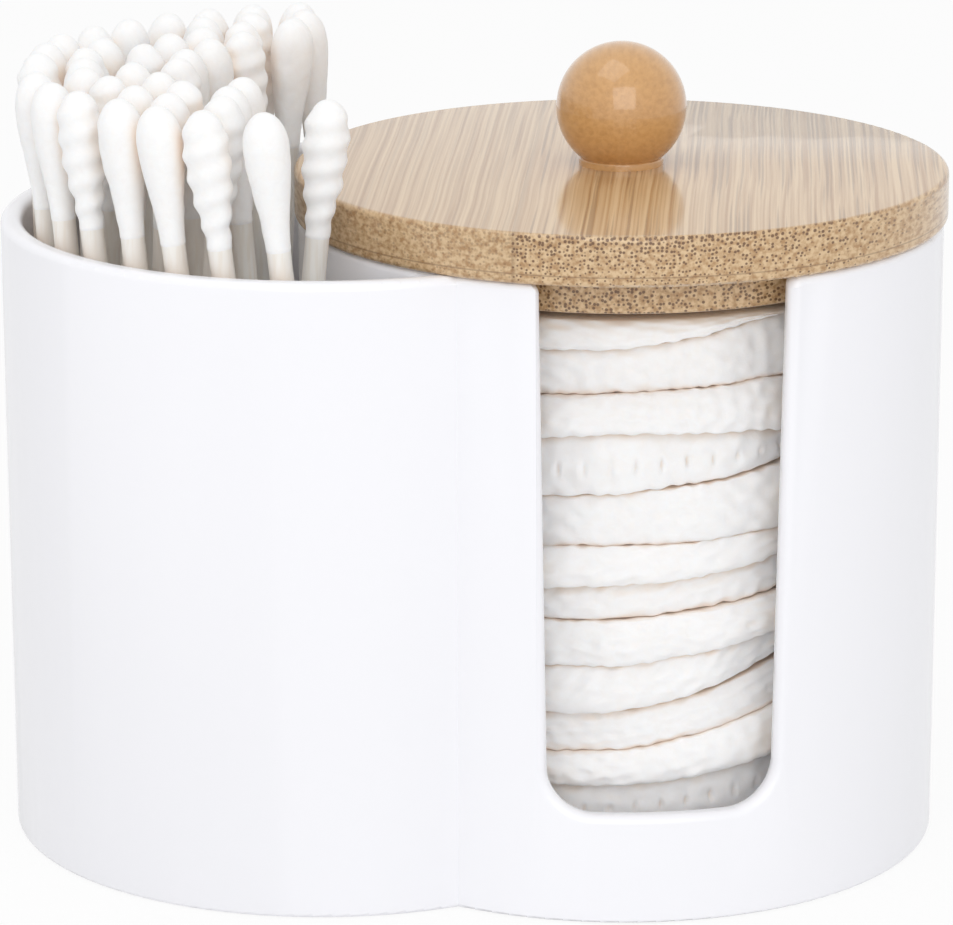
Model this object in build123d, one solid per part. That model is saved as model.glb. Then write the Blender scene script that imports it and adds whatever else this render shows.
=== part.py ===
from build123d import *
import os
from math import cos, degrees, hypot, radians, sin, sqrt
from random import Random

# Cotton pad and swab holder: a white figure-eight body with a bamboo lid, the pads and the swabs.
# Millimetres. +Z is up, +X runs from the swab drum to the pad drum, and the front faces -Y.
# The origin is on the standing plane, under the middle of the whole holder.

# ---- driving dimensions: body ----
body_height = 69.0
pad_drum_radius = 35.0
swab_drum_radius = 35.3
drum_spacing = 32.2
wall = 2.4
floor_thickness = 2.4
pad_floor_height = 3.6
swab_floor_height = 11.2
floor_corner_radius = 1.2
rim_rounding = 0.9
foot_rounding = 0.5

# ---- driving dimensions: window of the pad drum ----
window_turn = 10.0
window_width = 25.7
window_lean = 0.95
window_sill = 11.9
window_corner_radius = 5.0
window_top_rounding = 1.2

# ---- driving dimensions: lid ----
lid_overhang = 0.4
lid_thickness = 5.4
lid_edge_rounding = 0.6
plug_gap = 2.3
plug_depth = 4.0
plug_edge_rounding = 0.5
ball_diameter = 14.1
ball_sink = 0.8
collar_diameter = 9.2
collar_height = 0.8
collar_rounding = 0.25

# ---- driving dimensions: screw of the knob ----
screw_diameter = 3.0
screw_head_diameter = 6.0
screw_head_height = 1.8
screw_grip = 8.0
screw_cross_length = 3.4
screw_cross_width = 0.8
screw_cross_depth = 1.0
screw_clearance = 0.05

# ---- driving dimensions: cotton pads ----
pad_diameter = 58.0
pad_thickness = 4.4
pad_edge_thickness = 3.0
pad_gap = 0.25
pad_shift = 0.8
pad_shift_turn = 137.0

# ---- driving dimensions: swabs ----
swab_length = 75.0
stick_diameter = 2.5
stick_cover = 2.5
stick_clearance = 0.02
head_diameter = 4.9
head_length = 14.5
head_widest = 3.6
head_neck_wall = 0.25
head_rings = 5
head_ring_depth = 0.3
first_ring_drop = 2.16
tip_share = 0.3
body_shares = (0, 0.3, 0.65, 1)
swab_stand_off = 0.2

# ---- driving dimensions: how the swabs stand ----
swab_limit = 42
swab_gap = 0.12
row_gap = 0.45
row_leans = (8.0, -6.0, 5.5, -5.0, 3.0)
row_spread = 1.6
row_front_angle = 263.0
row_back_angle = 95.0
place_jitter = 0.7
place_tries = 40
place_steps = 24
place_seed = 11
taker_inset = 5.2
taker_angle = 277.0
taker_lean = -7.5
ribbed_every = 3

# ---- how far apart two places may be and still count as one ----
near = 0.01

# ---- worked out from them ----
pad_x = (drum_spacing + swab_drum_radius - pad_drum_radius - lid_overhang) / 2
swab_x = pad_x - drum_spacing
pad_bore_radius = pad_drum_radius - wall
swab_bore_radius = swab_drum_radius - wall
lid_radius = pad_drum_radius + lid_overhang
plug_radius = pad_bore_radius - plug_gap
plug_bottom = body_height - plug_depth
lid_top = body_height + lid_thickness
ball_radius = ball_diameter / 2
ball_centre_z = lid_top + ball_radius - ball_sink
collar_radius = collar_diameter / 2
screw_radius = screw_diameter / 2
screw_tip_z = lid_top + screw_grip
stick_radius = stick_diameter / 2
head_radius = head_diameter / 2
row_step = head_diameter + row_gap
row_radius = swab_bore_radius - head_radius - row_gap


def turned(outline, x):
    """A solid of revolution about the upright axis at x, from a closed (radius, height) outline."""
    corners = [(x + radius, 0, height) for radius, height in outline]
    return revolve(make_face(Polyline(*corners, close=True)), Axis((x, 0, 0), (0, 0, 1)))


def ring_edges(shape, radius, height):
    """The round edges of a shape with that radius and height."""
    circles = shape.edges().filter_by(GeomType.CIRCLE)
    level = [edge for edge in circles if abs(edge.center().Z - height) < near]
    return [edge for edge in level if abs(edge.radius - radius) < near]


def upright(radius, bottom, top):
    """A cylinder on the lid's axis between two heights."""
    return Pos(pad_x, 0, (bottom + top) / 2) * Cylinder(radius, top - bottom)


# ---- the white body ----
def drum(x, radius, floor_height):
    """One drum with a square rim: its wall, its floor and the hollow underside."""
    bore = radius - wall
    floor_under = floor_height - floor_thickness
    outline = [(0, floor_under), (bore, floor_under), (bore, 0), (radius, 0)]
    outline += [(radius, body_height), (bore, body_height), (bore, floor_height), (0, floor_height)]
    shape = turned(outline, x)
    shape = fillet(ring_edges(shape, bore, floor_height), floor_corner_radius)
    return fillet(ring_edges(shape, radius, 0), foot_rounding)


def window_cutter():
    """The window's outline, a little narrower at the sill, pushed out through the wall."""
    above_rim = window_corner_radius
    slope = window_lean / (body_height - window_sill)
    half_sill = window_width / 2 - window_lean
    half_top = window_width / 2 + slope * above_rim
    top = body_height + above_rim
    corners = [(-half_top, top), (-half_sill, window_sill), (half_sill, window_sill), (half_top, top)]
    face = make_face(Plane.XZ * Polyline(*corners, close=True))
    face = fillet(face.vertices().sort_by(Axis.Z)[:2], window_corner_radius)
    cutter = extrude(face, amount=pad_drum_radius + wall)
    return Pos(pad_x, 0, 0) * Rot(0, 0, window_turn) * cutter


def top_corner_edges(shape):
    """The two short edges where the window's sides meet the rim."""
    rim = shape.faces().sort_by(Axis.Z)[-1]
    return rim.edges().filter_by(GeomType.LINE)


def border_edges(shape, radius):
    """The edges along the rim and the window on the pad drum's face of that radius."""
    found = []
    for edge in shape.edges():
        points = [edge.position_at(share) - Vector(pad_x, 0, 0) for share in (0, 0.5, 1)]
        on_face = all(abs(hypot(point.X, point.Y) - radius) < near for point in points)
        on_seam = all(abs(point.Y) < near for point in points)
        if on_face and not on_seam and points[1].Z > window_sill - near:
            found.append(edge)
    return found


def pad_drum():
    """The pad drum with its window, every edge of rim and window rounded over."""
    shape = drum(pad_x, pad_drum_radius, pad_floor_height) - window_cutter()
    shape = fillet(top_corner_edges(shape), window_top_rounding)
    shape = fillet(border_edges(shape, pad_drum_radius), rim_rounding)
    return fillet(border_edges(shape, pad_bore_radius), rim_rounding)


def swab_drum():
    """The swab drum, cut away where the pad drum's wall takes over."""
    shape = drum(swab_x, swab_drum_radius, swab_floor_height)
    rim = ring_edges(shape, swab_drum_radius, body_height)
    rim += ring_edges(shape, swab_bore_radius, body_height)
    partition = upright(pad_drum_radius - wall / 2, -body_height, body_height * 2)
    return fillet(rim, rim_rounding) - partition


def holder_body():
    """Both drums in one moulding: the pad drum's wall is also the partition."""
    return pad_drum() + swab_drum()


# ---- the bamboo lid ----
def lid_disc():
    """The disc that rests on the rim."""
    disc = upright(lid_radius, body_height, lid_top)
    disc = fillet(disc.edges().filter_by(GeomType.CIRCLE), lid_edge_rounding)
    return disc - upright(screw_radius + screw_clearance, body_height, lid_top)


def screw_head(extra):
    """The cone of the countersunk head, larger all round by extra, with its flat downwards."""
    high = plug_bottom + screw_head_height
    wide = screw_head_diameter / 2 + extra
    return turned([(0, plug_bottom), (wide, plug_bottom), (screw_radius + extra, high), (0, high)], pad_x)


def lid_plug():
    """The smaller disc under the lid, which keeps it in the middle of the drum."""
    plug = upright(plug_radius, plug_bottom, body_height)
    plug = fillet(ring_edges(plug, plug_radius, plug_bottom), plug_edge_rounding)
    hole = upright(screw_radius + screw_clearance, plug_bottom, body_height)
    return plug - hole - screw_head(screw_clearance)


def lid_knob():
    """The turned ball with its collar, and the blind hole that takes the screw."""
    ball = Pos(pad_x, 0, ball_centre_z) * Sphere(ball_radius)
    ball -= upright(ball_diameter, lid_top - ball_diameter, lid_top)
    collar = upright(collar_radius, lid_top, lid_top + collar_height)
    collar = fillet(ring_edges(collar, collar_radius, lid_top + collar_height), collar_rounding)
    hole = upright(screw_radius + screw_clearance, lid_top, screw_tip_z + screw_clearance)
    return ball + collar - hole


def knob_screw():
    """The countersunk cross-head screw from the plug's underside into the ball."""
    screw = upright(screw_radius, plug_bottom, screw_tip_z) + screw_head(0)
    for turn in (0, 90):
        arm = Box(screw_cross_length, screw_cross_width, screw_cross_depth)
        screw -= Pos(pad_x, 0, plug_bottom + screw_cross_depth / 2) * Rot(0, 0, turn) * arm
    return screw


# ---- the cotton pads ----
def pad_count():
    """As many pads as fit between the floor and the plug."""
    return int((plug_bottom - pad_floor_height) / (pad_thickness + pad_gap))


def cotton_pad(index):
    """One round pad with crowned faces and a thinner rounded edge, laid a little off centre."""
    radius = pad_diameter / 2
    crown = pad_thickness / 2
    edge = pad_edge_thickness / 2
    shoulder = radius - edge
    top = TangentArc((0, 0, crown), (shoulder, 0, edge), tangent=(1, 0, 0))
    rim = ThreePointArc((shoulder, 0, edge), (radius, 0, 0), (shoulder, 0, -edge))
    bottom = TangentArc((0, 0, -crown), (shoulder, 0, -edge), tangent=(1, 0, 0))
    middle = Line((0, 0, -crown), (0, 0, crown))
    pad = revolve(make_face([top, rim, bottom, middle]), Axis.Z)
    turn = radians(index * pad_shift_turn)
    height = pad_floor_height + (index + 0.5) * (pad_thickness + pad_gap)
    return Pos(pad_x + pad_shift * cos(turn), pad_shift * sin(turn), height) * pad


# ---- where the swabs stand ----
def half_width(distance):
    """The room that a swab takes to each side, at that distance from its foot."""
    from_end = min(distance, swab_length - distance)
    return head_radius if from_end < head_length + stick_radius else stick_radius


def has_room(place, others):
    """Whether a swab, given by the plan places of its foot and tip, is clear of all the rest."""
    foot, tip = place
    for share in [step / place_steps for step in range(place_steps + 1)]:
        spot = foot + (tip - foot) * share
        width = half_width(swab_length * share)
        in_drum = swab_floor_height + swab_length * share < body_height
        if in_drum and abs(spot - swab_x) > swab_bore_radius - width - swab_gap:
            return False
        if abs(spot - pad_x) < lid_radius + width + swab_gap:
            return False
        for other_foot, other_tip in others:
            if abs(spot - other_foot - (other_tip - other_foot) * share) < 2 * width + swab_gap:
                return False
    return True


def in_swab_drum(radius, angle):
    """The plan place at that radius and angle (degrees, 270 at the front) in the swab drum."""
    return swab_x + radius * complex(cos(radians(angle)), sin(radians(angle)))


def swab_places():
    """Plan places of each swab's foot and tip: rows round the drum, each leaning its own way.

    The first place is the swab at the front right, which stands clear so that it can be drawn out.
    """
    dice = Random(place_seed)
    taker_radius = row_radius - taker_inset
    taker_foot_angle = taker_angle + degrees(taker_lean / taker_radius)
    places = [(in_swab_drum(taker_radius, taker_foot_angle), in_swab_drum(taker_radius, taker_angle))]
    for row, lean in enumerate(row_leans):
        radius = row_radius - row * row_step
        angle = row_front_angle
        while angle > row_back_angle:
            for attempt in range(place_tries):
                reach = place_jitter * (1 - attempt / (place_tries - 1))
                shake = [dice.uniform(-reach, reach) for _ in range(4)]
                foot = in_swab_drum(radius, angle + degrees(lean / radius)) + complex(*shake[:2])
                tip = in_swab_drum(radius + row_spread, angle) + complex(*shake[2:])
                if has_room((foot, tip), places):
                    places.append((foot, tip))
                    break
            angle -= degrees(row_step / radius)
    return places[:swab_limit]


# ---- one swab ----
def head_radius_at(drop):
    """The radius of a cotton head at that distance from its tip: an egg end, then a long neck."""
    if drop < head_widest:
        return head_radius * sqrt(1 - (1 - drop / head_widest) ** 2)
    neck = stick_radius + head_neck_wall
    share = (drop - head_widest) / (head_length - head_widest)
    return neck + (head_radius - neck) * (1 + cos(radians(180 * share))) / 2


def head_outline(ribbed):
    """The curved outside of a head as edges from its tip, which is at the origin, downwards."""
    def point(drop, outwards=0.0):
        return (head_radius_at(drop) + outwards, 0, -drop)

    if not ribbed:
        tip = ThreePointArc(point(0), point(head_widest * tip_share), point(head_widest))
        drops = [head_widest + share * (head_length - head_widest) for share in body_shares]
        return [tip, Spline(*[point(drop) for drop in drops])]
    ring = (head_length - first_ring_drop) / head_rings
    first = point(first_ring_drop, -head_ring_depth)
    edges = [ThreePointArc(point(0), point(first_ring_drop * tip_share), first)]
    for drop in [first_ring_drop + count * ring for count in range(head_rings)]:
        start = point(drop, -head_ring_depth)
        last = drop + ring > head_length - near
        end = point(head_length) if last else point(drop + ring, -head_ring_depth)
        edges.append(ThreePointArc(start, point(drop + ring / 2), end))
    return edges


def cotton_head(ribbed):
    """A head wound on the stick's end, tip at the origin, with the hole that the stick fills."""
    bore = stick_radius + stick_clearance
    end = (stick_radius + head_neck_wall, 0, -head_length)
    hole = [(bore, 0, -head_length), (bore, 0, -stick_cover), (0, 0, -stick_cover), (0, 0, 0)]
    inside = Polyline(end, *hole)
    return revolve(make_face([*head_outline(ribbed), *inside.edges()]), Axis.Z)


def swab(place, ribbed_up):
    """One swab as three solids: a stick and a head on each end, one of them ribbed."""
    foot, tip = place
    lean = tip - foot
    rise = sqrt(swab_length ** 2 - abs(lean) ** 2)
    stick_length = swab_length - 2 * stick_cover - 2 * stick_clearance
    stick = Pos(0, 0, swab_length / 2) * Cylinder(stick_radius, stick_length)
    upper = Pos(0, 0, swab_length) * cotton_head(ribbed_up)
    lower = mirror(cotton_head(not ribbed_up), Plane.XY)
    start = (foot.real, foot.imag, swab_floor_height + swab_stand_off)
    stand = Plane(origin=start, x_dir=(rise, 0, -lean.real), z_dir=(lean.real, lean.imag, rise))
    return Compound([stand.location * piece for piece in (stick, upper, lower)])


def pieces():
    """Every piece by its node's name."""
    found = {
        "holder_body": holder_body(),
        "lid_disc": lid_disc(),
        "lid_plug": lid_plug(),
        "lid_knob": lid_knob(),
        "knob_screw": knob_screw(),
    }
    for index in range(pad_count()):
        found[f"cotton_pad_{index + 1:02d}"] = cotton_pad(index)
    for index, place in enumerate(swab_places()):
        ribbed_up = index == 0 or index % ribbed_every == ribbed_every - 1
        found[f"swab_{index + 1:02d}"] = swab(place, ribbed_up)
    return found


os.makedirs("parts", exist_ok=True)
for name, piece in pieces().items():
    export_step(piece, f"parts/{name}.step")
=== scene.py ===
"""Dresses the cotton pad and swab holder: white moulding, bamboo lid, cotton pads and swabs."""

import logging
import math
from dataclasses import dataclass, field
from enum import Enum, IntEnum
from typing import Any

import bpy
import numpy as np
from mathutils import Matrix, Vector


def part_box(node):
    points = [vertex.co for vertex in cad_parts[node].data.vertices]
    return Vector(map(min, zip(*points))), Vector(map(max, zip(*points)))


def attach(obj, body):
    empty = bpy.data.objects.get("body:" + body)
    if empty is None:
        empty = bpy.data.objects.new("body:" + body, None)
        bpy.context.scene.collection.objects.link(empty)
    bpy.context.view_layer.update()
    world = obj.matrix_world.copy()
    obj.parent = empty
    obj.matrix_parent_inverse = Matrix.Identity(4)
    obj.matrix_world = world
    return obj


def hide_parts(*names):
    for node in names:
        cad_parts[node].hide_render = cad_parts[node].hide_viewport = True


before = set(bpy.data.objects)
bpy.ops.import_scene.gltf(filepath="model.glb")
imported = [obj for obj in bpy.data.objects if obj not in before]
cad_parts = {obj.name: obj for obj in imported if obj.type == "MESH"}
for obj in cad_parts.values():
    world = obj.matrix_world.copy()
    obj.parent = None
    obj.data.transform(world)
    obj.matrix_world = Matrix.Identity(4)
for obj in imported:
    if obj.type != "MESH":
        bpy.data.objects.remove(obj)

Colour = tuple[float, float, float, float]
Material = bpy.types.Material
Piece = bpy.types.Object
Socket = bpy.types.NodeSocket
Span = tuple[float, float]
Tree = bpy.types.NodeTree
Triple = tuple[float, float, float]

MM = 0.001
# Points of a carried-over node that lie closer than this are one point.
WELD_M = 1e-6
# Edges of a carried-over node that are flatter than this are shaded as round.
ROUND_EDGE = math.radians(30)
# Metres are rounded to this many places before equal points of a node are dropped.
SAME_POINT_PLACES = 7
# The shortest and longest wavelength in an uneven field, as a share of the typical one.
WAVE_SPREAD: Span = (0.7, 1.5)
# Brings an uneven field to about minus one to one.
WAVE_GAIN = 1.2
LOG = logging.getLogger("holder")


class Head(Enum):
    """The two ways in which a swab's cotton is wound."""

    SMOOTH = "smooth"
    RIBBED = "ribbed"


class PadSeed(IntEnum):
    """Where each kind of unevenness in the pads starts its random draws."""

    BROAD = 40
    FINE = 140
    WANDER = 240
    FLUFF = 340
    RAGGED = 440


class SwabSeed(IntEnum):
    """Where the lumps of the swabs' heads start their random draws."""

    FINE_LUMPS = 500
    LOWER_HEAD = 900
    UPPER_HEAD = 1900


def linear(hex_colour: str) -> Colour:
    """Turns an sRGB hex colour into the linear colour that a shader takes.

    The bare numbers are those of the sRGB standard's own curve.

    Args:
        hex_colour: Six hex digits after a hash sign.

    Returns:
        Red, green, blue and an alpha of one.
    """
    parts = [int(hex_colour[place:place + 2], 16) / 255 for place in (1, 3, 5)]
    red, green, blue = [p / 12.92 if p <= 0.04045 else ((p + 0.055) / 1.055) ** 2.4 for p in parts]
    return red, green, blue, 1.0


def add_node(tree: Tree, kind: str, inputs: dict[Any, Any] | None = None,
             **settings: Any) -> bpy.types.Node:
    """Adds a shader node with its settings, its values and its links.

    Args:
        tree: The node tree that gets the node.
        kind: The node's type name.
        inputs: Socket name or number to a value, or to a socket that is linked to it.
        settings: Properties of the node itself.

    Returns:
        The new node.
    """
    node = tree.nodes.new(kind)
    for name, value in settings.items():
        setattr(node, name, value)
    for socket, value in (inputs or {}).items():
        if isinstance(value, bpy.types.NodeSocket):
            tree.links.new(value, node.inputs[socket])
        else:
            node.inputs[socket].default_value = value
    return node


def calculate(tree: Tree, operation: str, *values: Any) -> Socket:
    """Adds a sum on numbers.

    Args:
        tree: The material's node tree.
        operation: The Math node's operation.
        values: Its numbers or sockets, in order.

    Returns:
        The result.
    """
    node = add_node(tree, "ShaderNodeMath", dict(enumerate(values)), operation=operation)
    return node.outputs[0]


def remap(tree: Tree, value: Socket, source: Span = (0.0, 1.0),
          target: Span = (0.0, 1.0)) -> Socket:
    """Moves a value from one span to another and keeps it inside the second.

    Args:
        tree: The material's node tree.
        value: The value.
        source: The span it comes from.
        target: The span it goes to.

    Returns:
        The moved value.
    """
    inputs = {0: value, 1: source[0], 2: source[1], 3: target[0], 4: target[1]}
    return add_node(tree, "ShaderNodeMapRange", inputs).outputs[0]


def blend(tree: Tree, share: Socket, first: Colour | Socket, second: Colour | Socket) -> Socket:
    """Mixes two colours.

    Args:
        tree: The material's node tree.
        share: How much of the second colour shows.
        first: The colour at zero.
        second: The colour at one.

    Returns:
        The mixed colour.
    """
    inputs = {0: share, 6: first, 7: second}
    return add_node(tree, "ShaderNodeMix", inputs, data_type="RGBA").outputs[2]


def noise(tree: Tree, point: Socket, scale: float = 1.0, detail: float = 2.0,
          roughness: float = 0.5, distortion: float = 0.0) -> bpy.types.Node:
    """Adds a noise texture.

    Args:
        tree: The material's node tree.
        point: The surface point in millimetres.
        scale: Blots per millimetre.
        detail: How many finer copies are laid over it.
        roughness: How strong the finer copies are.
        distortion: How far the blots are pulled out of shape.

    Returns:
        The texture's node.
    """
    return add_node(tree, "ShaderNodeTexNoise", {
        "Vector": point, "Scale": scale, "Detail": detail, "Roughness": roughness,
        "Distortion": distortion})


def relief(tree: Tree, height: Socket, strength: float, depth_mm: float) -> Socket:
    """Lets a pattern tilt the light on a surface.

    Args:
        tree: The material's node tree.
        height: The pattern.
        strength: How much of it is taken.
        depth_mm: How deep its full span is.

    Returns:
        The tilted normal.
    """
    inputs = {"Strength": strength, "Distance": depth_mm * MM, "Height": height}
    return add_node(tree, "ShaderNodeBump", inputs).outputs[0]


def new_material(name: str) -> tuple[Material, Tree]:
    """Makes an empty node material.

    Args:
        name: The finish's name.

    Returns:
        The material and its node tree.
    """
    material = bpy.data.materials.new(name)
    material.use_nodes = True
    material.node_tree.nodes.clear()
    return material, material.node_tree


def place_in_mm(tree: Tree) -> Socket:
    """Returns the surface point in millimetres, read from Object coordinates."""
    point = add_node(tree, "ShaderNodeTexCoord").outputs["Object"]
    scaled = add_node(tree, "ShaderNodeVectorMath", {0: point, "Scale": 1 / MM}, operation="SCALE")
    return scaled.outputs[0]


def stretched(tree: Tree, point: Socket, scale: Triple) -> Socket:
    """Returns the point multiplied by three numbers, so that a pattern runs out along an axis."""
    node = add_node(tree, "ShaderNodeVectorMath", {0: point, 1: scale}, operation="MULTIPLY")
    return node.outputs[0]


@dataclass(frozen=True)
class PaintedWarmShade:
    """Painted shade: a warmer colour painted where a pale, soft surface is hemmed in, standing in
    for the warm light that bounces there.
    """

    # The painted shade's colour, and how near another surface must be for it to show.
    colour: str
    reach_mm: float
    openness: Span = (0.15, 0.75)
    samples: int = 8

    def over(self, tree: Tree, colour: Socket) -> Socket:
        """Paints warm shade over a colour where the surface is hemmed in.

        Args:
            tree: The material's node tree.
            colour: The colour in the open.

        Returns:
            The colour with painted warm shade where the surface lies between two pieces.
        """
        sky = add_node(tree, "ShaderNodeAmbientOcclusion", {"Distance": self.reach_mm * MM},
                       samples=self.samples)
        share = remap(tree, sky.outputs["AO"], self.openness)
        return blend(tree, share, linear(self.colour), colour)


def finish_surface(tree: Tree, shader: bpy.types.Node) -> None:
    """Joins a shader to the material's output."""
    add_node(tree, "ShaderNodeOutputMaterial", {"Surface": shader.outputs[0]})


@dataclass(frozen=True)
class MouldedPlastic:
    """Injection-moulded white ABS.

    It gives the eye a cool, even white and a soft gloss whose reflections run slightly uneven.
    The orange peel is drawn coarser than the 1 to 3 mm of a real mould, at 7 mm, because finer
    peel shows as specks from the camera's distance. The tone changes over about 33 mm.
    """

    colour: str = "#F9F9FD"
    shade: str = "#F7F7FB"
    shades_per_mm: float = 0.03
    roughness: Span = (0.23, 0.26)
    ior: float = 1.53
    peel_mm: float = 7.0
    peel_detail: float = 3.0
    peel_depth_mm: float = 0.01
    peel_strength: float = 0.2

    def material(self) -> Material:
        """Returns the material."""
        material, tree = new_material("moulded_white_abs")
        point = place_in_mm(tree)
        broad = noise(tree, point, self.shades_per_mm)
        tone = blend(tree, broad.outputs[0], linear(self.colour), linear(self.shade))
        peel = noise(tree, point, 1 / self.peel_mm, self.peel_detail).outputs[0]
        finish_surface(tree, add_node(tree, "ShaderNodeBsdfPrincipled", {
            "Base Color": tone, "Roughness": remap(tree, peel, target=self.roughness),
            "IOR": self.ior, "Normal": relief(tree, peel, self.peel_strength, self.peel_depth_mm)}))
        return material


@dataclass(frozen=True)
class LacqueredBamboo:
    """Bamboo strips glued side by side, sanded and lacquered.

    It gives the eye a warm tan wood under a clear reflection. The fibre bundles run along Y: cut
    across, at the front and the back, they show as dark dots, and cut along, on the flats, as
    fine streaks. The board's bundles lie 0.43 mm apart, as they do near a real culm's skin, and
    a streak is 0.6 mm wide. Heights and the joint's place are those of the lid in the frame.
    """

    name: str
    light: str = "#D9BA90"
    dark: str = "#AE8658"
    fibre: str = "#63401F"
    roughness: float = 0.45
    ior: float = 1.5
    coat: float = 0.8
    coat_roughness: float = 0.12

    # The plug lies below the rim and the board above it; two layers of the board meet at a line.
    rim_mm: float = 69.0
    top_mm: float = 74.4
    layer_mm: float = 70.1
    layer_line_mm: Span = (0.04, 0.12)
    layer_share: float = 0.5

    # The bundles: spacing, length over width, and how far from a regular grid they lie.
    bundle_mm: float = 0.43
    bundle_long: float = 160.0
    bundle_disorder: float = 0.6
    bends_per_mm: Triple = (0.02, 0.03, 0.05)
    bend_mm: Triple = (1.2, 0.0, 0.8)

    # The dots: strength, radius from the rim to the top as a share of the spacing, the plug's
    # extra radius, the width of a dot's soft edge, and how they fade from cut ends to flats.
    dots: float = 0.9
    dot_radius: Span = (0.30, 0.48)
    plug_extra: float = 0.16
    dot_edge: float = 0.14
    end_facing: Span = (0.35, 0.75)
    flat_share: float = 0.5

    # The strips: width, where one starts along X, their brightness, and the dark glue joint.
    strip_mm: float = 60.0
    joint_x_mm: float = 6.1
    joint_blend_mm: float = 0.1
    left_share: float = 0.4
    joint_width: float = 0.012
    joint_dark: float = 0.4
    strip_bright: Span = (0.94, 1.05)

    # The streaks: how many per millimetre, the noise values of dark and pale, and their relief.
    streaks_per_mm: Triple = (1.7, 0.004, 1.7)
    streak_detail: float = 3.0
    streak_roughness: float = 0.55
    streak_span: Span = (0.36, 0.6)
    streak_depth_mm: float = 0.03
    streak_strength: float = 0.35

    def grown(self, tree: Tree, point: Socket) -> Socket:
        """Shifts the point by a slow wave, so that no bundle runs quite straight.

        Args:
            tree: The material's node tree.
            point: The surface point in millimetres.

        Returns:
            The shifted point.
        """
        bend = noise(tree, stretched(tree, point, self.bends_per_mm), detail=1.0)
        shift = stretched(tree, bend.outputs["Color"], self.bend_mm)
        inputs = {0: point, 1: shift}
        return add_node(tree, "ShaderNodeVectorMath", inputs, operation="ADD").outputs[0]

    def cut_bundles(self, tree: Tree, grown: Socket, height: Socket) -> Socket:
        """Draws a dot in the middle of each bundle; dots widen upwards and in the plug.

        Args:
            tree: The material's node tree.
            grown: The shifted point.
            height: The height in millimetres.

        Returns:
            One inside a dot and zero outside it.
        """
        across = 1 / self.bundle_mm
        cells = add_node(tree, "ShaderNodeTexVoronoi", {
            "Vector": stretched(tree, grown, (across, across / self.bundle_long, across)),
            "Scale": 1.0, "Randomness": self.bundle_disorder})
        radius = remap(tree, height, (self.rim_mm, self.top_mm), self.dot_radius)
        in_plug = calculate(tree, "LESS_THAN", height, self.rim_mm)
        radius = calculate(tree, "MULTIPLY_ADD", in_plug, self.plug_extra, radius)
        inside = calculate(tree, "SUBTRACT", radius, cells.outputs["Distance"])
        return remap(tree, inside, (0.0, self.dot_edge))

    def dot_strength(self, tree: Tree, past: Socket) -> Socket:
        """Says how dark the dots are: most on cut ends, less on flats and before the joint.

        Args:
            tree: The material's node tree.
            past: Millimetres past the joint.

        Returns:
            The dots' strength.
        """
        normal = add_node(tree, "ShaderNodeTexCoord").outputs["Normal"]
        facing = add_node(tree, "ShaderNodeSeparateXYZ", {0: normal}).outputs["Y"]
        ahead = calculate(tree, "ABSOLUTE", facing)
        end_grain = remap(tree, ahead, self.end_facing, (self.dots * self.flat_share, self.dots))
        near_mm = self.joint_blend_mm
        side = remap(tree, past, (-near_mm, near_mm), (self.left_share, 1.0))
        return calculate(tree, "MULTIPLY", end_grain, side)

    def glue_lines(self, tree: Tree, height: Socket, strips: Socket) -> Socket:
        """Draws the thin lines where two layers and two strips are glued together.

        Args:
            tree: The material's node tree.
            height: The height in millimetres.
            strips: How many strip widths past the joint.

        Returns:
            The lines' strength.
        """
        off_layer = calculate(tree, "ABSOLUTE", calculate(tree, "SUBTRACT", height, self.layer_mm))
        layer = remap(tree, off_layer, self.layer_line_mm, (self.dots * self.layer_share, 0.0))
        beside = calculate(tree, "FRACT", strips)
        joint = remap(tree, beside, (0.0, self.joint_width), (self.joint_dark, 0.0))
        return calculate(tree, "MAXIMUM", layer, joint)

    def wood(self, tree: Tree, streak: Socket, strips: Socket) -> Socket:
        """Mixes the bare wood's colour, each strip a little paler or darker than the next.

        Args:
            tree: The material's node tree.
            streak: Zero in a dark streak and one between two.
            strips: How many strip widths past the joint.

        Returns:
            The colour.
        """
        wood = blend(tree, streak, linear(self.dark), linear(self.light))
        number = calculate(tree, "FLOOR", strips)
        pick = add_node(tree, "ShaderNodeTexWhiteNoise", {"W": number}, noise_dimensions="1D")
        bright = remap(tree, pick.outputs["Value"], target=self.strip_bright)
        inputs = {"Color": wood, "Value": bright}
        return add_node(tree, "ShaderNodeHueSaturation", inputs).outputs[0]

    def material(self) -> Material:
        """Returns the material."""
        material, tree = new_material(self.name)
        point = place_in_mm(tree)
        grown = self.grown(tree, point)
        parts = add_node(tree, "ShaderNodeSeparateXYZ", {0: point}).outputs
        height = parts["Z"]
        past = calculate(tree, "SUBTRACT", parts["X"], self.joint_x_mm)
        strips = calculate(tree, "DIVIDE", past, self.strip_mm)
        fibres = noise(tree, stretched(tree, grown, self.streaks_per_mm),
                       detail=self.streak_detail, roughness=self.streak_roughness)
        streak = remap(tree, fibres.outputs[0], self.streak_span)
        dots = calculate(tree, "MULTIPLY", self.cut_bundles(tree, grown, height),
                         self.dot_strength(tree, past))
        mark = calculate(tree, "MAXIMUM", dots, self.glue_lines(tree, height, strips))
        colour = blend(tree, mark, self.wood(tree, streak, strips), linear(self.fibre))
        finish_surface(tree, add_node(tree, "ShaderNodeBsdfPrincipled", {
            "Base Color": colour, "Roughness": self.roughness, "IOR": self.ior,
            "Coat Weight": self.coat, "Coat Roughness": self.coat_roughness, "Coat IOR": self.ior,
            "Normal": relief(tree, streak, self.streak_strength, self.streak_depth_mm)}))
        return material


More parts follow.
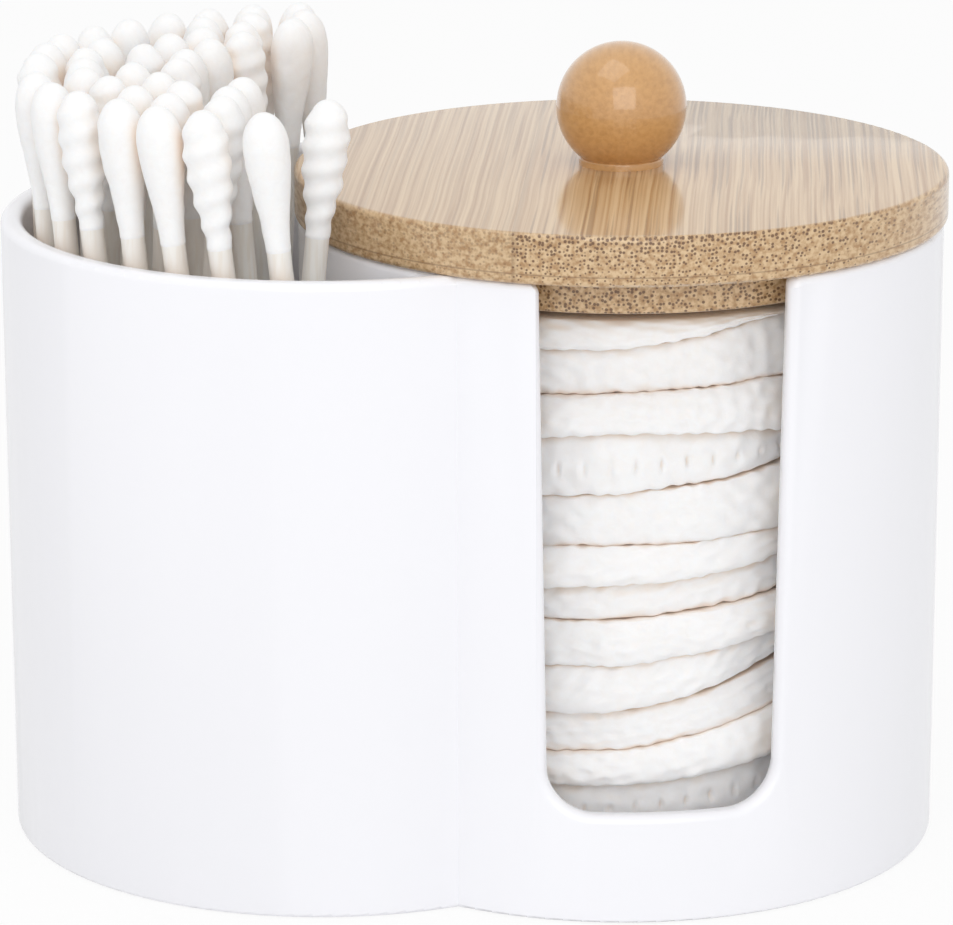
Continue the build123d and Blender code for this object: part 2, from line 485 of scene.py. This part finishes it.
@dataclass(frozen=True)
class Cotton:
    """Bleached cotton wool.

    It gives the eye a dull, soft white without reflections, with a slight fuzz, painted warm shade
    where it is hemmed in and painted shade in the dips of its fibres.
    Real fibres are 0.02 mm thick. They are drawn coarser, as strands of 0.35 mm in tufts of 1 to
    2 mm, because a single fibre is thinner than a pixel.
    """

    name: str
    colour: str = "#FDFCFC"
    # Painted shade: a slightly darker colour painted in the dips of the fibre relief.
    painted_dip_shade: str = "#FAF7F5"
    # Painted shade: a warmer colour painted where the wool is hemmed in by other wool.
    painted_warm_shade: PaintedWarmShade = PaintedWarmShade("#FBE9DB", 5.0)
    roughness: float = 0.95
    ior: float = 1.45
    shine: float = 0.2
    tuft_mm: float = 1.6
    tuft_detail: float = 3.0
    tuft_twist: float = 0.6
    fibre_mm: float = 0.35
    fibre_flat: Triple = (1.0, 1.0, 2.4)
    fibre_detail: float = 4.0
    fibre_twist: float = 1.5
    fibre_share: float = 0.35
    height_span: Span = (0.45, 0.8)
    relief_mm: float = 0.08
    relief_strength: float = 0.6
    scatter: float = 0.6
    scatter_mm: float = 1.5
    scatter_colour: Triple = (1.0, 0.92, 0.85)
    fuzz: float = 0.25
    fuzz_roughness: float = 0.6

    def material(self) -> Material:
        """Returns the material."""
        material, tree = new_material(self.name)
        point = place_in_mm(tree)
        tufts = noise(tree, point, 1 / self.tuft_mm, self.tuft_detail, distortion=self.tuft_twist)
        fibres = noise(tree, stretched(tree, point, self.fibre_flat), 1 / self.fibre_mm,
                       self.fibre_detail, distortion=self.fibre_twist)
        height = calculate(tree, "MULTIPLY_ADD", fibres.outputs[0], self.fibre_share,
                           tufts.outputs[0])
        # Painted shade: the tone darkens towards the dips of the fibre relief, the same height that
        # tilts the light.
        tone = blend(tree, remap(tree, height, self.height_span), linear(self.painted_dip_shade),
                     linear(self.colour))
        # Painted warm shade goes over the tone where the wool is hemmed in.
        finish_surface(tree, add_node(tree, "ShaderNodeBsdfPrincipled", {
            "Base Color": self.painted_warm_shade.over(tree, tone), "Roughness": self.roughness,
            "IOR": self.ior, "Specular IOR Level": self.shine,
            "Subsurface Weight": self.scatter, "Subsurface Radius": self.scatter_colour,
            "Subsurface Scale": self.scatter_mm * MM,
            "Sheen Weight": self.fuzz, "Sheen Roughness": self.fuzz_roughness,
            "Normal": relief(tree, height, self.relief_strength, self.relief_mm)}))
        return material


@dataclass(frozen=True)
class RolledPaper:
    """Tightly rolled white paper.

    It gives the eye a dull cream white with faint long lines where the roll's layers end, and
    painted warm shade where it is hemmed in.
    The lines are 0.5 mm wide and 5.5 mm long, as on a real stick.
    """

    colour: str = "#FCFAF5"
    seam: str = "#F6F1E8"
    # Painted shade: a warmer colour painted where the stick is hemmed in among the other swabs.
    painted_warm_shade: PaintedWarmShade = PaintedWarmShade("#FBEDDF", 7.0)
    roughness: float = 0.6
    ior: float = 1.45
    line_mm: Span = (0.5, 5.5)
    line_detail: float = 3.0
    line_span: Span = (0.35, 0.55)
    relief_mm: float = 0.03
    relief_strength: float = 0.2

    def material(self) -> Material:
        """Returns the material."""
        material, tree = new_material("rolled_paper")
        wide, long = self.line_mm
        point = stretched(tree, place_in_mm(tree), (1 / wide, 1 / wide, 1 / long))
        lines = noise(tree, point, detail=self.line_detail).outputs[0]
        tone = blend(tree, remap(tree, lines, self.line_span), linear(self.seam),
                     linear(self.colour))
        # Painted warm shade goes over the tone where the stick is hemmed in.
        finish_surface(tree, add_node(tree, "ShaderNodeBsdfPrincipled", {
            "Base Color": self.painted_warm_shade.over(tree, tone), "Roughness": self.roughness,
            "IOR": self.ior,
            "Normal": relief(tree, lines, self.relief_strength, self.relief_mm)}))
        return material


@dataclass(frozen=True)
class ZincedSteel:
    """Zinc-plated steel.

    It gives the eye a grey metal with fine scratches, 0.1 mm wide and 0.7 mm long, from the
    plating drum.
    """

    colour: str = "#B9BBBD"
    scratch_flat: Triple = (6.0, 1.0, 1.0)
    scratches_per_mm: float = 1.5
    scratch_detail: float = 4.0
    roughness: Span = (0.25, 0.5)

    def material(self) -> Material:
        """Returns the material."""
        material, tree = new_material("zinced_steel")
        point = stretched(tree, place_in_mm(tree), self.scratch_flat)
        scratches = noise(tree, point, self.scratches_per_mm, self.scratch_detail).outputs[0]
        finish_surface(tree, add_node(tree, "ShaderNodeBsdfPrincipled", {
            "Base Color": linear(self.colour), "Metallic": 1.0,
            "Roughness": remap(tree, scratches, target=self.roughness)}))
        return material


def waves(x: np.ndarray, y: np.ndarray, length: float, seed: int, count: int = 7) -> np.ndarray:
    """A smooth uneven field: cosines of about one wavelength in random directions, added up.

    Args:
        x: First coordinates.
        y: Second coordinates.
        length: The typical wavelength, in the same unit.
        seed: Chooses the directions and phases.
        count: How many cosines.

    Returns:
        Values of about minus one to one.
    """
    dice = np.random.default_rng(seed)
    turn = dice.uniform(0, 2 * np.pi, count)
    pitch = 2 * np.pi / (length * dice.uniform(*WAVE_SPREAD, count))
    phase = dice.uniform(0, 2 * np.pi, count)
    total = np.zeros(np.broadcast(x, y).shape)
    for wave in range(count):
        along = x * np.cos(turn[wave]) + y * np.sin(turn[wave])
        total = total + np.cos(pitch[wave] * along + phase[wave])
    return total / math.sqrt(2 * count) * WAVE_GAIN


def round_mesh(name: str, points: np.ndarray) -> Piece:
    """A closed surface from rings of points that starts and ends in a pole.

    The first and the last ring each fall on one point, so they become one vertex and a fan.

    Args:
        name: The piece's name.
        points: Rings by steps round by three coordinates, from the lower to the upper pole.

    Returns:
        The new object, linked to the scene, with its place in its mesh.
    """
    rings, steps = points.shape[:2]
    inner = points[1:-1].reshape(-1, 3)
    places = np.vstack([points[0, :1], inner, points[-1, :1]])
    here = np.arange(steps)
    after = np.roll(here, -1)
    quad_rows = rings - 3
    base = 1 + steps * np.arange(quad_rows)[:, None]
    quads = np.stack([base + here, base + after, base + steps + after, base + steps + here], -1)
    low_fan = np.stack([np.zeros(steps, int), 1 + after, 1 + here], -1)
    last = 1 + steps * quad_rows
    high_fan = np.stack([last + here, last + after, np.full(steps, len(places) - 1)], -1)
    faces = quads.reshape(-1, 4).tolist() + low_fan.tolist() + high_fan.tolist()
    mesh = bpy.data.meshes.new(name)
    mesh.from_pydata(places.tolist(), [], faces)
    mesh.polygons.foreach_set("use_smooth", np.ones(len(mesh.polygons), bool))
    mesh.update()
    piece = bpy.data.objects.new(name, mesh)
    bpy.context.scene.collection.objects.link(piece)
    return piece


def dress(node: str, material: Material) -> Piece:
    """Gives a carried-over node its finish and rounds its shading over the flats.

    Args:
        node: The node's name.
        material: Its finish.

    Returns:
        The node's object.
    """
    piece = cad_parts[node]
    piece.data.materials.clear()
    piece.data.materials.append(material)
    piece.data.polygons.foreach_set("use_smooth", np.ones(len(piece.data.polygons), bool))
    weld = piece.modifiers.new("weld", "WELD")
    weld.merge_threshold = WELD_M
    split = piece.modifiers.new("split", "EDGE_SPLIT")
    split.split_angle = ROUND_EDGE
    return piece


@dataclass
class HolderBody:
    """The white two-drum moulding."""

    finish: MouldedPlastic = field(default_factory=MouldedPlastic)

    def build(self) -> list[Piece]:
        """Dresses the moulding and returns it."""
        return [dress("holder_body", self.finish.material())]


def turned_ball() -> LacqueredBamboo:
    """Returns the ball's finish: redder than the board, glossier, and nearly without dots.

    Its bundles are drawn coarser than real ones, at 0.8 mm, because only a faint mottling shows.
    """
    return LacqueredBamboo(
        "lacquered_bamboo_ball", light="#CF9E63", dark="#C59459", fibre="#8A5A2C", dots=0.1,
        coat=1.0, coat_roughness=0.05, roughness=0.35, bundle_mm=0.8, joint_x_mm=-14.0)


@dataclass
class BambooLid:
    """The disc with its plug, its ball knob and the screw that holds them together."""

    board: LacqueredBamboo = field(
        default_factory=lambda: LacqueredBamboo("lacquered_bamboo_board"))
    ball: LacqueredBamboo = field(default_factory=turned_ball)
    screw: ZincedSteel = field(default_factory=ZincedSteel)

    def build(self) -> list[Piece]:
        """Dresses the four pieces and returns them."""
        board = self.board.material()
        return [dress("lid_disc", board), dress("lid_plug", board),
                dress("lid_knob", self.ball.material()),
                dress("knob_screw", self.screw.material())]


@dataclass
class PadStack:
    """The stack of round cotton pads.

    Each pad lies between two uneven sheets that its neighbours share, so that no gap opens.
    """

    finish: Cotton = field(default_factory=lambda: Cotton("cotton_pad_wool"))
    steps: int = 640
    face_rings: int = 12
    edge_rings: int = 26

    # A sheet's unevenness: how high and how long its broad, fine and ragged waves are.
    uneven_mm: float = 0.16
    uneven_length_mm: float = 26.0
    fine_mm: float = 0.06
    fine_length_mm: float = 5.0
    ragged_mm: float = 0.09
    ragged_length_mm: float = 1.9
    ragged_waves: int = 12

    # How far each sheet in the window hangs at the left, in the middle and at the right, where
    # left and right are, how far out the curve through them runs, and how it fades backwards.
    droop_mm: tuple[Triple, ...] = (
        (0.0, 0.0, 1.0), (0.37, 0.4, 2.5), (-0.74, -0.6, 3.3), (-0.92, -1.1, 3.4),
        (-0.77, -0.3, 2.25), (-0.45, -0.2, 1.8), (-1.26, -0.9, 1.0), (-2.08, -1.4, -0.5),
        (-0.65, -0.4, 1.8), (0.82, 1.5, 0.8), (0.84, 1.2, 1.9), (0.93, 1.5, 3.9))
    left_mm: float = -8.7
    right_mm: float = 17.4
    droop_reach_mm: Span = (-14.0, 21.0)
    fade_end_mm: float = 12.0
    fade_mm: float = 30.0

    # The edge: the crease between two pads, the rolled edge, its lean inwards towards the top,
    # where the rim starts and how wide it is as a share of the radius, how thin it gets, and
    # how high and how long its slow and its fluffy waves are.
    crease_mm: float = 0.01
    edge_mm: float = 0.9
    slope_mm: float = 0.55
    rim_start: float = 0.88
    rim_width: float = 0.12
    rim_pull: float = 0.02
    wander_mm: float = 0.35
    wander_length_mm: float = 12.0
    fluff_mm: float = 0.14
    fluff_length_mm: float = 2.4
    fluff_waves: int = 11
    edge_arc_mm: float = 4.0

    # The row of stitches: spacing, depth, height on the edge and its spread, how narrow a dimple
    # is, which pads show it, and how strong it is on the others.
    stitch_mm: float = 2.8
    stitch_depth_mm: float = 0.7
    stitch_height: float = -0.15
    stitch_spread: float = 0.2
    stitch_power: int = 10
    stitched: tuple[int, ...] = (1, 9)
    stitch_faint: float = 0.1

    def names(self) -> list[str]:
        """Returns the pads' node names from the bottom up."""
        return sorted(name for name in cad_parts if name.startswith("cotton_pad_"))

    def droop(self, number: int, x: np.ndarray, y: np.ndarray) -> np.ndarray:
        """How far a sheet hangs: a parabola through three heights, faded towards the back.

        Args:
            number: Which sheet, counted from the bottom.
            x: Places along X from the stack's axis.
            y: Places along Y.

        Returns:
            Heights in millimetres.
        """
        left, middle, right = self.droop_mm[number - 1]
        across = np.clip(x / MM, *self.droop_reach_mm)
        first = (left - middle) / self.left_mm
        second = ((right - middle) / self.right_mm - first) / (self.right_mm - self.left_mm)
        front = np.clip((self.fade_end_mm - y / MM) / self.fade_mm, 0, 1)
        lean = middle + across * (first + second * (across - self.left_mm))
        return lean * front ** 2 * (3 - 2 * front)

    def sheet(self, level: float, number: int, x: np.ndarray, y: np.ndarray) -> np.ndarray:
        """Height of the uneven sheet between two pads: its level, its droop and waves.

        Args:
            level: The sheet's mean height.
            number: Which sheet, counted from the bottom; the lowest and the highest are flat.
            x: Places along X from the stack's axis.
            y: Places along Y.

        Returns:
            Heights in metres.
        """
        if number in (0, len(self.droop_mm) + 1):
            return np.full(x.shape, level)
        broad = waves(x, y, self.uneven_length_mm * MM, PadSeed.BROAD + number)
        fine = waves(x, y, self.fine_length_mm * MM, PadSeed.FINE + number)
        ragged = waves(x, y, self.ragged_length_mm * MM, PadSeed.RAGGED + number,
                       self.ragged_waves)
        smooth = self.droop(number, x, y) + self.uneven_mm * broad + self.fine_mm * fine
        return level + smooth * MM + ragged * self.ragged_mm * MM

    def profile(self, radius: float) -> tuple[np.ndarray, np.ndarray]:
        """A pad's section: out along the underside, half round the edge, back along the top.

        Args:
            radius: The pad's radius in metres.

        Returns:
            Distances from the axis, and places from the underside at minus one to the top at one.
        """
        roll = self.edge_mm * MM
        flat = np.linspace(0, 1, self.face_rings, endpoint=False) * (radius - roll)
        turn = np.linspace(-np.pi / 2, np.pi / 2, self.edge_rings)
        reach = np.concatenate([flat, radius - roll + roll * np.cos(turn), flat[::-1]])
        share = np.concatenate([-np.ones(len(flat)), np.sin(turn), np.ones(len(flat))])
        return reach, share

    def edge(self, around: np.ndarray, side: np.ndarray, radius: float, number: int) -> np.ndarray:
        """How far a pad's edge stands out: it wanders, is fluffy, leans in and has stitches.

        Args:
            around: Angles round the pad.
            side: Places from the underside at minus one to the top at one.
            radius: The pad's radius in metres.
            number: The pad's place in the stack, from zero.

        Returns:
            Distances in metres.
        """
        x, y = np.cos(around) * radius, np.sin(around) * radius
        wander = waves(x, y, self.wander_length_mm * MM, PadSeed.WANDER + number)
        fluff = waves(around * radius, side * self.edge_arc_mm * MM, self.fluff_length_mm * MM,
                      PadSeed.FLUFF + number, self.fluff_waves)
        count = round(2 * np.pi * radius / (self.stitch_mm * MM))
        row = np.exp(-((side - self.stitch_height) / self.stitch_spread) ** 2)
        dimples = row * np.clip(np.cos(around * count), 0, 1) ** self.stitch_power
        strong = 1.0 if number in self.stitched else self.stitch_faint
        slope = self.slope_mm * MM * (side + 1) / 2
        return (wander * self.wander_mm * MM + fluff * self.fluff_mm * MM - slope
                - dimples * strong * self.stitch_depth_mm * MM)

    def pad(self, node: str, number: int, below: float, above: float, wool: Material) -> Piece:
        """One pad: a flat round form with a soft rolled edge and a row of stitch dimples.

        Height is the mean of the two sheets plus a share of half their gap.

        Args:
            node: The pad's node name.
            number: Its place in the stack, from zero.
            below: Mean height of the sheet under it.
            above: Mean height of the sheet over it.
            wool: Its finish.

        Returns:
            The pad.
        """
        low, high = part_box(node)
        centre = (low + high) / 2
        radius = (high.x - low.x) / 2
        reach, share = self.profile(radius)
        angle = np.linspace(0, 2 * np.pi, self.steps, endpoint=False)
        ring, around = np.meshgrid(reach, angle, indexing="ij")
        side = np.repeat(share[:, None], self.steps, 1)
        rim = np.clip((ring / radius - self.rim_start) / self.rim_width, 0, 1)
        ring = ring + rim * self.edge(around, side, radius, number)
        x, y = ring * np.cos(around), ring * np.sin(around)
        bottom = self.sheet(below, number, x, y) + self.crease_mm * MM / 2
        top = self.sheet(above, number + 1, x, y) - self.crease_mm * MM / 2
        pull = 1 - self.rim_pull * rim ** 2
        z = (bottom + top) / 2 + side * (top - bottom) / 2 * pull
        surface = np.stack([x + centre.x, y + centre.y, z], -1)
        piece = round_mesh(f"pad_{number + 1:02d}", surface)
        piece.data.materials.append(wool)
        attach(piece, "holder")
        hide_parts(node)
        return piece

    def build(self) -> list[Piece]:
        """Builds every pad and returns them."""
        wool = self.finish.material()
        names = self.names()
        boxes = [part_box(name) for name in names]
        levels = [boxes[0][0].z]
        levels += [(lower[1].z + upper[0].z) / 2 for lower, upper in zip(boxes, boxes[1:])]
        levels.append(boxes[-1][1].z)
        return [self.pad(name, number, levels[number], levels[number + 1], wool)
                for number, name in enumerate(names)]


@dataclass
class SwabBunch:
    """The swabs in the open drum, each wound at both ends on a paper stick."""

    # Its second colour is painted shade in the dips of the fibre relief, lighter than on the pads.
    finish: Cotton = field(default_factory=lambda: Cotton(
        "swab_cotton_wool", colour="#FDFDFD", painted_dip_shade="#F9F8F7", relief_mm=0.04, tuft_mm=1.1))
    stick_finish: RolledPaper = field(default_factory=RolledPaper)
    steps: int = 40
    egg_rings: int = 14
    body_rings: int = 44
    stick_rings: int = 8

    # Radii of the stick, of a head at its widest and of its thin end over the stick, then how
    # far from the tip it is widest, its length, and how late a ribbed head narrows.
    stick_mm: float = 1.25
    head_mm: float = 2.4
    neck_mm: float = 0.06
    widest_mm: float = 3.6
    head_long_mm: float = 14.5
    late_narrowing: float = 1.35
    stick_gap_mm: float = 0.1

    # The lumps' height, the length of the coarse and the fine ones, the fine ones' share, and
    # how far from the tip and the neck they fade.
    lump_mm: float = 0.06
    lump_length_mm: Span = (3.2, 1.4)
    fine_share: float = 0.5
    tip_fade_mm: float = 2.5
    neck_fade_mm: float = 2.0

    # The ridge of a ribbed head: its turns and the spare part of a turn, its depth, and the
    # shares of the depth by which it swings and by which it lies deeper on the whole.
    rings: int = 5
    spare_ring: float = 0.6
    ring_depth_mm: float = 0.30
    ridge_swing: float = 0.5
    ridge_sink: float = 0.2

    # Every third swab stands with its ribbed head up, and each is turned on from the last.
    ribbed_every: int = 3
    turn_on: float = 2.4

    def winding(self, kind: Head) -> tuple[np.ndarray, np.ndarray]:
        """Drops from the tip and the radius there, along one head.

        An egg end widens as a quarter ellipse, then the winding narrows along a half cosine.

        Args:
            kind: Smooth or ribbed; a ribbed head narrows later.

        Returns:
            Drops and radii in millimetres.
        """
        egg = self.widest_mm * (1 - np.cos(np.linspace(0, np.pi / 2, self.egg_rings)))
        body = np.linspace(self.widest_mm, self.head_long_mm, self.body_rings)[1:]
        drop = np.concatenate([egg, body])
        share = np.clip((drop - self.widest_mm) / (self.head_long_mm - self.widest_mm), 0, 1)
        late = share ** (self.late_narrowing if kind is Head.RIBBED else 1.0)
        neck = self.stick_mm + self.neck_mm
        radius = neck + (self.head_mm - neck) * (1 + np.cos(np.pi * late)) / 2
        inside = np.clip(1 - (1 - drop / self.widest_mm) ** 2, 0, 1)
        radius = np.where(drop < self.widest_mm, self.head_mm * np.sqrt(inside), radius)
        return drop, radius

    def head(self, kind: Head, angle: np.ndarray, seed: int) -> tuple[np.ndarray, np.ndarray]:
        """A head's surface: its winding, lumps and, if ribbed, a ridge that climbs as a screw.

        The lumps fade out at angle zero, where the field's start and end would not meet.

        Args:
            kind: How it is wound.
            angle: Steps round the stick.
            seed: Chooses the lumps.

        Returns:
            Drops and radii, rings by steps, in millimetres.
        """
        drop, radius = self.winding(kind)
        rows, turn = np.meshgrid(drop, angle, indexing="ij")
        wide = np.repeat(radius[:, None], len(angle), 1)
        to_neck = np.clip((self.head_long_mm - rows) / self.neck_fade_mm, 0, 1)
        fade = np.clip(rows / self.tip_fade_mm, 0, 1) * to_neck
        coarse, fine = self.lump_length_mm
        around = turn * self.head_mm
        fine_lumps = waves(rows, around, fine, seed + SwabSeed.FINE_LUMPS)
        lumps = waves(rows, around, coarse, seed) + self.fine_share * fine_lumps
        wrap = np.sin(turn / 2) ** 2
        wide = wide + fade * self.lump_mm * lumps * wrap
        if kind is Head.RIBBED:
            pitch = self.head_long_mm / (self.rings + self.spare_ring)
            ridge = np.cos(2 * np.pi * rows / pitch + turn)
            wide = wide + fade * self.ring_depth_mm * (self.ridge_swing * ridge - self.ridge_sink)
        return rows, wide

    def axis(self, node: str) -> tuple[np.ndarray, np.ndarray, float]:
        """Finds a swab's axis: the long direction of its node's points, upwards.

        Args:
            node: The swab's node name.

        Returns:
            The foot in metres, the direction, and the length in millimetres.
        """
        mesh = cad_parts[node].data
        points = np.zeros(len(mesh.vertices) * 3)
        mesh.vertices.foreach_get("co", points)
        points = np.unique(points.reshape(-1, 3).round(SAME_POINT_PLACES), axis=0)
        centre = (points.max(0) + points.min(0)) / 2
        along = np.linalg.svd(points - points.mean(0), full_matrices=False)[2][0]
        along = along * np.sign(along[2])
        places = (points - centre) @ along
        foot = centre + along * places.min()
        return foot, along, (places.max() - places.min()) / MM

    def form(self, number: int, length: float) -> tuple[np.ndarray, np.ndarray]:
        """A straight swab: the lower head, the stick and the upper head.

        Args:
            number: The swab's number, from zero.
            length: Its length in millimetres.

        Returns:
            Heights over the foot and radii, rings by steps, in millimetres.
        """
        ribbed_up = number == 0 or number % self.ribbed_every == self.ribbed_every - 1
        kinds = (Head.SMOOTH, Head.RIBBED) if ribbed_up else (Head.RIBBED, Head.SMOOTH)
        angle = np.linspace(0, 2 * np.pi, self.steps, endpoint=False)
        low_rows, low_wide = self.head(kinds[0], angle, SwabSeed.LOWER_HEAD + number)
        high_rows, high_wide = self.head(kinds[1], angle, SwabSeed.UPPER_HEAD + number)
        start = self.head_long_mm + self.stick_gap_mm
        end = length - self.head_long_mm - self.stick_gap_mm
        rows = np.linspace(start, end, self.stick_rings)
        stick = np.repeat(rows[:, None], self.steps, 1)
        height = np.concatenate([low_rows, stick, length - high_rows[::-1]])
        radii = [low_wide, np.full(stick.shape, self.stick_mm), high_wide[::-1]]
        return height, np.concatenate(radii)

    def paint(self, piece: Piece, cotton: Material, paper: Material) -> None:
        """Gives a swab its finishes: paper on the rows between its heads and cotton on the rest.

        Args:
            piece: The swab.
            cotton: The heads' finish.
            paper: The stick's finish.
        """
        piece.data.materials.append(cotton)
        piece.data.materials.append(paper)
        head_rings = self.egg_rings + self.body_rings - 1
        rings = 2 * head_rings + self.stick_rings
        row = np.repeat(np.arange(rings - 3) + 1, self.steps)
        on_stick = (row >= head_rings) & (row < head_rings + self.stick_rings - 1)
        slots = np.zeros(len(piece.data.polygons), int)
        slots[:len(on_stick)] = on_stick
        piece.data.polygons.foreach_set("material_index", slots)

    def swab(self, node: str, number: int, cotton: Material, paper: Material) -> Piece:
        """One swab along its node's own axis.

        Args:
            node: The swab's node name.
            number: Its number, from zero.
            cotton: The heads' finish.
            paper: The stick's finish.

        Returns:
            The swab.
        """
        foot, along, length = self.axis(node)
        height, wide = self.form(number, length)
        side = np.cross(along, (0.0, 1.0, 0.0))
        side = side / np.linalg.norm(side)
        other = np.cross(along, side)
        spin = np.linspace(0, 2 * np.pi, self.steps, endpoint=False) + number * self.turn_on
        ring = np.cos(spin)[None, :, None] * side + np.sin(spin)[None, :, None] * other
        surface = foot + height[..., None] * MM * along + wide[..., None] * MM * ring
        piece = round_mesh(f"swab_{number + 1:02d}_wound", surface)
        self.paint(piece, cotton, paper)
        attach(piece, "swab" if node == "swab_01" else "holder")
        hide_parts(node)
        return piece

    def build(self) -> list[Piece]:
        """Builds every swab and returns them."""
        cotton = self.finish.material()
        paper = self.stick_finish.material()
        names = sorted(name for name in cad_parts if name.startswith("swab_"))
        return [self.swab(name, number, cotton, paper) for number, name in enumerate(names)]


@dataclass(frozen=True)
class Softbox:
    """A square soft light; its place and size are in metres."""

    name: str
    place: Triple
    size: float
    watts: float

    def hang(self, aim: Vector) -> None:
        """Hangs the light so that it faces a point.

        Args:
            aim: The point, in metres.
        """
        data = bpy.data.lights.new(self.name, "AREA")
        data.size = self.size
        data.energy = self.watts
        lamp = bpy.data.objects.new(self.name, data)
        lamp.location = self.place
        lamp.rotation_euler = (aim - Vector(self.place)).to_track_quat("-Z", "Y").to_euler()
        bpy.context.scene.collection.objects.link(lamp)


@dataclass
class Studio:
    """The pale floor, the soft light and the camera at the photograph's angle."""

    # The camera, as fitted to the photograph's edges: place, three turns and focal length.
    eye_mm: Triple = (32.79, -502.35, 183.21)
    yaw: float = -0.0646
    pitch: float = 0.2764
    roll: float = -0.0022
    focal_px: float = 4738.2
    frame_px: float = 953.0
    sensor_mm: float = 36.0
    near_m: float = 0.01

    # The floor: half its side, how far it lies under the foot, its grey, and the share of it
    # that glows where it is seen or mirrored.
    floor_half_m: float = 3.0
    floor_drop_m: float = 0.0001
    floor_grey: Colour = (0.85, 0.85, 0.85, 1.0)
    floor_glow: float = 0.9

    # The light: how bright the white surroundings are, and the softboxes with their aim.
    ambient: float = 0.72
    white: Colour = (1.0, 1.0, 1.0, 1.0)
    aim_m: Triple = (0.0, 0.0, 0.04)
    softboxes: tuple[Softbox, ...] = (
        Softbox("front_softbox", (0.15, -1.0, 0.55), 0.8, 3.5),
        Softbox("top_softbox", (-0.2, -0.2, 1.1), 0.7, 1.75))

    def camera(self) -> None:
        """Stands the camera where the photograph's measured edges put it."""
        level = math.cos(self.pitch)
        ahead = np.array([math.sin(self.yaw) * level, math.cos(self.yaw) * level,
                          -math.sin(self.pitch)])
        right = np.array([math.cos(self.yaw), -math.sin(self.yaw), 0.0])
        up = np.cross(right, ahead)
        turned_right = math.cos(self.roll) * right + math.sin(self.roll) * up
        turned_up = math.cos(self.roll) * up - math.sin(self.roll) * right
        data = bpy.data.cameras.new("camera")
        data.sensor_fit = "HORIZONTAL"
        data.sensor_width = self.sensor_mm
        data.lens = self.focal_px / self.frame_px * self.sensor_mm
        data.clip_start = self.near_m
        camera = bpy.data.objects.new("camera", data)
        place = Matrix(np.column_stack([turned_right, turned_up, -ahead]).tolist()).to_4x4()
        place.translation = [value * MM for value in self.eye_mm]
        camera.matrix_world = place
        bpy.context.scene.collection.objects.link(camera)
        bpy.context.scene.camera = camera

    def seen(self, tree: Tree) -> Socket:
        """Returns one where the camera or a mirroring surface looks, and zero for other light."""
        path = add_node(tree, "ShaderNodeLightPath").outputs
        return calculate(tree, "MAXIMUM", path["Is Camera Ray"], path["Is Glossy Ray"])

    def floor(self) -> None:
        """Lays a pale floor that shows white, with a little of the holder's shadow."""
        half, low = self.floor_half_m, -self.floor_drop_m
        mesh = bpy.data.meshes.new("floor")
        mesh.from_pydata([(-half, -half, low), (half, -half, low), (half, half, low),
                          (-half, half, low)], [], [(0, 1, 2, 3)])
        floor = bpy.data.objects.new("floor", mesh)
        bpy.context.scene.collection.objects.link(floor)
        material, tree = new_material("pale_floor")
        matt = add_node(tree, "ShaderNodeBsdfDiffuse", {"Color": self.floor_grey})
        glow = add_node(tree, "ShaderNodeEmission", {"Color": self.white, "Strength": 1.0})
        share = calculate(tree, "MULTIPLY", self.seen(tree), self.floor_glow)
        finish_surface(tree, add_node(tree, "ShaderNodeMixShader", {
            0: share, 1: matt.outputs[0], 2: glow.outputs[0]}))
        mesh.materials.append(material)

    def world(self) -> None:
        """Makes the surroundings white where they are seen or mirrored, and dimmer as a light."""
        world = bpy.data.worlds.new("studio")
        bpy.context.scene.world = world
        world.use_nodes = True
        tree = world.node_tree
        tree.nodes.clear()
        strength = remap(tree, self.seen(tree), target=(self.ambient, 1.0))
        sky = add_node(tree, "ShaderNodeBackground", {"Color": self.white, "Strength": strength})
        add_node(tree, "ShaderNodeOutputWorld", {"Surface": sky.outputs[0]})

    def build(self) -> None:
        """Sets the whole studio."""
        self.camera()
        self.floor()
        self.world()
        for softbox in self.softboxes:
            softbox.hang(Vector(self.aim_m))
        bpy.context.scene.view_settings.view_transform = "Standard"


def main() -> None:
    """Builds the sub-assemblies in order."""
    logging.basicConfig(level=logging.INFO, format="%(message)s")
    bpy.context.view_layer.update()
    Studio().build()
    for assembly in (HolderBody(), BambooLid(), PadStack(), SwabBunch()):
        for piece in assembly.build():
            faces = len(piece.data.polygons)
            LOG.info("%s: %s, %d faces", type(assembly).__name__, piece.name, faces)


if __name__ == "__main__":
    main()
